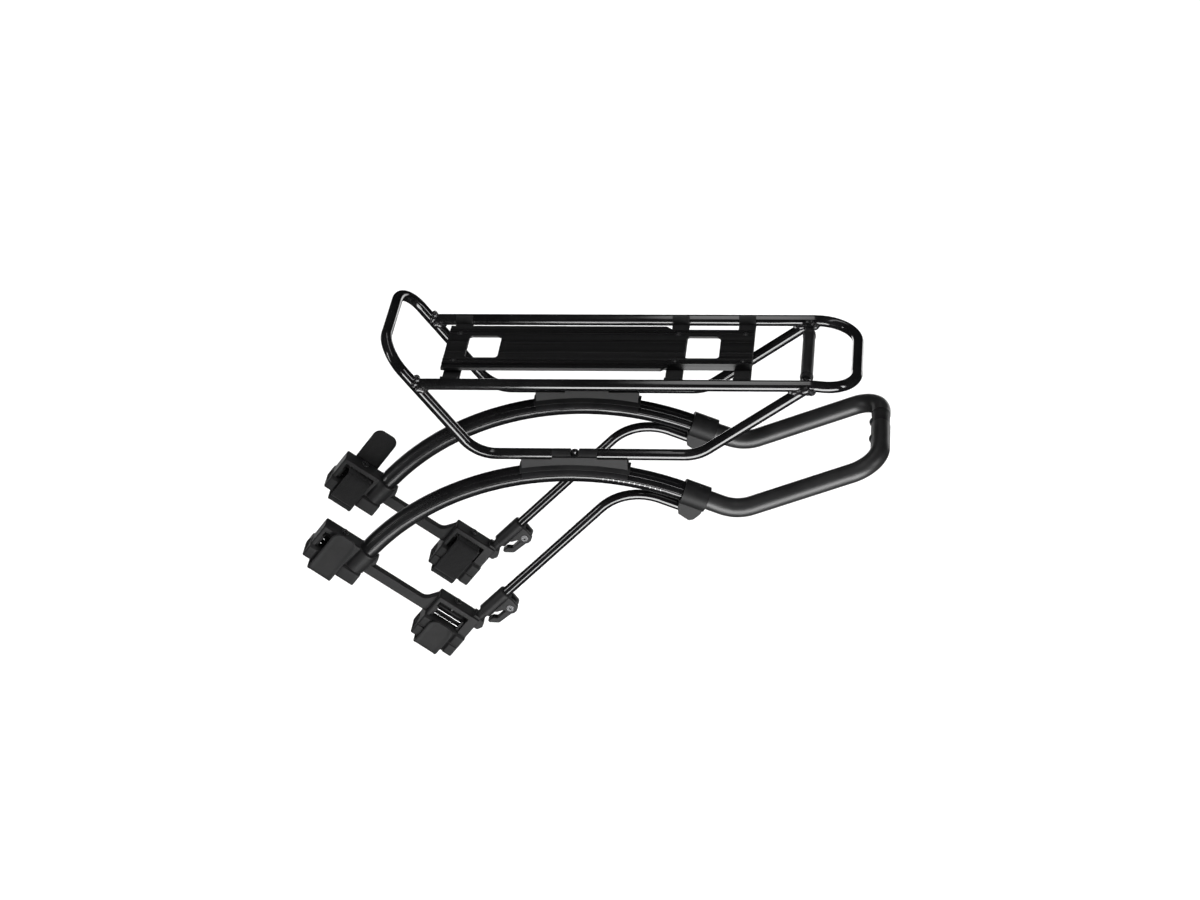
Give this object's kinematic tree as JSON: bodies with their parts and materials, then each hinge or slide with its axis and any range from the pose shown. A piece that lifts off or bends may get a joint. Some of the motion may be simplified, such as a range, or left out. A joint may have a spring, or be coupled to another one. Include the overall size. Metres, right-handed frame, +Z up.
{
  "type": "rear rack",
  "caption": "Bicycle rear rack with a tube platform and ribbed deck plate on curved arms, a loop behind the wheel, and padded strap clamps that hold the seat stays.",
  "frame": {"origin": "on the mid plane, on the line between the centres of the left and right upper stay clamps", "axes": "+X to the back of the bicycle, +Y to the rider's right, +Z up"},
  "size_m": [0.5229, 0.1406, 0.3215],
  "materials": {
    "gloss_black_tube": "gloss paint",
    "black_arm": "black anodised, satin",
    "black_loop": "black anodised, matte",
    "anodised_deck": "black anodised, brushed",
    "painted_strip": "satin paint",
    "black_nylon": "fine moulded texture",
    "nylon_liner": "smooth",
    "soft_rubber": "matte",
    "strap_webbing": "woven, with a smooth outer face on the left straps",
    "dark_steel": "black oxide",
    "bright_steel": "polished"
  },
  "bodies": {
    "stay_brackets": {"left_stay_bracket": "black_nylon", "left_upper_pad": "soft_rubber", "left_lower_pad": "soft_rubber", "left_upper_strap": "strap_webbing", "left_lower_strap": "strap_webbing", "right_stay_bracket": "black_nylon", "right_upper_pad": "soft_rubber", "right_lower_pad": "soft_rubber", "right_upper_strap": "strap_webbing", "right_lower_strap": "strap_webbing"},
    "rack_frame": {"collar_screws": "dark_steel", "loop_joint_sleeve": "black_nylon", "loop_screws": "dark_steel", "left_arm": "black_arm", "left_collar": "black_nylon", "left_loop_tube": "black_loop", "left_strut": "gloss_black_tube", "left_strut_foot": "black_nylon", "left_lever_screw": "dark_steel", "right_arm": "black_arm", "right_collar": "black_nylon", "right_loop_tube": "black_loop", "right_strut": "gloss_black_tube", "right_strut_foot": "black_nylon", "right_lever_screw": "dark_steel"},
    "platform": {"top_loop_tube": "gloss_black_tube", "front_hoop_tube": "gloss_black_tube", "track_plate": "anodised_deck", "front_cross_bracket": "painted_strip", "middle_cross_bracket": "painted_strip", "rear_cross_bracket": "painted_strip", "plate_rivets": "dark_steel", "light_bar": "gloss_black_tube", "light_bar_sleeve": "black_nylon", "saddle_bolts": "dark_steel", "left_rear_stay_tube": "gloss_black_tube", "left_saddle": "black_nylon", "left_saddle_shoe": "nylon_liner", "right_rear_stay_tube": "gloss_black_tube", "right_saddle": "black_nylon", "right_saddle_shoe": "nylon_liner"},
    "left_lever": {"left_lever": "black_nylon"},
    "left_upper_tensioner": {"left_upper_carriage": "black_nylon", "left_upper_rods": "bright_steel"},
    "left_upper_bolt": {"left_upper_tension_bolt": "dark_steel"},
    "left_lower_tensioner": {"left_lower_carriage": "black_nylon", "left_lower_rods": "bright_steel"},
    "left_lower_bolt": {"left_lower_tension_bolt": "dark_steel"},
    "right_lever": {"right_lever": "black_nylon"},
    "right_upper_tensioner": {"right_upper_carriage": "black_nylon", "right_upper_rods": "bright_steel"},
    "right_upper_bolt": {"right_upper_tension_bolt": "dark_steel"},
    "right_lower_tensioner": {"right_lower_carriage": "black_nylon", "right_lower_rods": "bright_steel"},
    "right_lower_bolt": {"right_lower_tension_bolt": "dark_steel"}
  },
  "joints": [
    {"name": "rack_release", "type": "slide", "parent": "stay_brackets", "child": "rack_frame", "axis": [0.682, 0, 0.7314], "range_m": [0, 0.045]},
    {"name": "platform_tilt", "type": "hinge", "parent": "rack_frame", "child": "platform", "pos_m": [0.2251, 0, -0.1534], "axis": [0, 1, 0], "range_deg": [-5.5, 5.5]},
    {"name": "left_lever_pivot", "type": "hinge", "parent": "rack_frame", "child": "left_lever", "pos_m": [0.16197, -0.057, -0.04408], "axis": [0, -1, 0], "range_deg": [0, 75]},
    {"name": "left_upper_bolt_turn", "type": "hinge", "parent": "stay_brackets", "child": "left_upper_bolt", "pos_m": [0.01691, -0.055, 0.03057], "axis": [0.6157, 0, 0.788], "range_deg": [0, 3090]},
    {"name": "left_upper_tensioner_slide", "type": "slide", "parent": "stay_brackets", "child": "left_upper_tensioner", "axis": [0.6157, 0, 0.788], "range_m": [0, 0.006], "deforming": ["left_upper_strap"]},
    {"name": "left_lower_bolt_turn", "type": "hinge", "parent": "stay_brackets", "child": "left_lower_bolt", "pos_m": [0.11353, -0.055, -0.04327], "axis": [0.6157, 0, 0.788], "range_deg": [0, 3090]},
    {"name": "left_lower_tensioner_slide", "type": "slide", "parent": "stay_brackets", "child": "left_lower_tensioner", "axis": [0.6157, 0, 0.788], "range_m": [0, 0.006], "deforming": ["left_lower_strap"]},
    {"name": "right_lever_pivot", "type": "hinge", "parent": "rack_frame", "child": "right_lever", "pos_m": [0.16197, 0.057, -0.04408], "axis": [0, -1, 0], "range_deg": [0, 75]},
    {"name": "right_upper_bolt_turn", "type": "hinge", "parent": "stay_brackets", "child": "right_upper_bolt", "pos_m": [0.01691, 0.059, 0.03057], "axis": [0.6157, 0, 0.788], "range_deg": [0, 3090]},
    {"name": "right_upper_tensioner_slide", "type": "slide", "parent": "stay_brackets", "child": "right_upper_tensioner", "axis": [0.6157, 0, 0.788], "range_m": [0, 0.006], "deforming": ["right_upper_strap"]},
    {"name": "right_lower_bolt_turn", "type": "hinge", "parent": "stay_brackets", "child": "right_lower_bolt", "pos_m": [0.11353, 0.059, -0.04327], "axis": [0.6157, 0, 0.788], "range_deg": [0, 3090]},
    {"name": "right_lower_tensioner_slide", "type": "slide", "parent": "stay_brackets", "child": "right_lower_tensioner", "axis": [0.6157, 0, 0.788], "range_m": [0, 0.006], "deforming": ["right_lower_strap"]}
  ],
  "couplings": [
    {"joint": "left_upper_bolt_turn", "follows": "left_upper_tensioner_slide", "rad_per_m": 8976},
    {"joint": "left_lower_bolt_turn", "follows": "left_lower_tensioner_slide", "rad_per_m": 8976},
    {"joint": "right_upper_bolt_turn", "follows": "right_upper_tensioner_slide", "rad_per_m": 8976},
    {"joint": "right_lower_bolt_turn", "follows": "right_lower_tensioner_slide", "rad_per_m": 8976}
  ]
}
